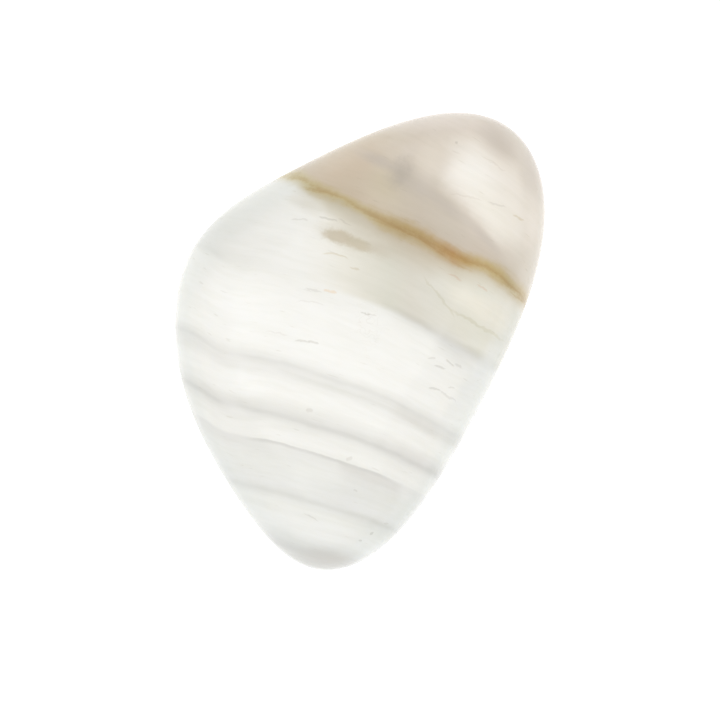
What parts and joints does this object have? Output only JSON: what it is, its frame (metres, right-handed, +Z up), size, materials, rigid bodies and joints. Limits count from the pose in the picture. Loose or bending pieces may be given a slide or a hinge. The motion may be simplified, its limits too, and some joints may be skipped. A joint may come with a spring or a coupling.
{
  "type": "tumbled aragonite",
  "caption": "Small tumbled pebble of banded white aragonite with an ochre vein, lying on its broad side.",
  "frame": {"origin": "middle of the pebble's outline, on the surface that it rests on", "axes": "+Z up through the pebble's thickness, +Y from the narrow tip to the broad crown, +X to the right with the crown away from the viewer"},
  "size_m": [0.028, 0.0348, 0.0121],
  "materials": {
    "aragonite": "polished"
  },
  "bodies": {
    "root": {"stone": "aragonite"}
  },
  "joints": []
}
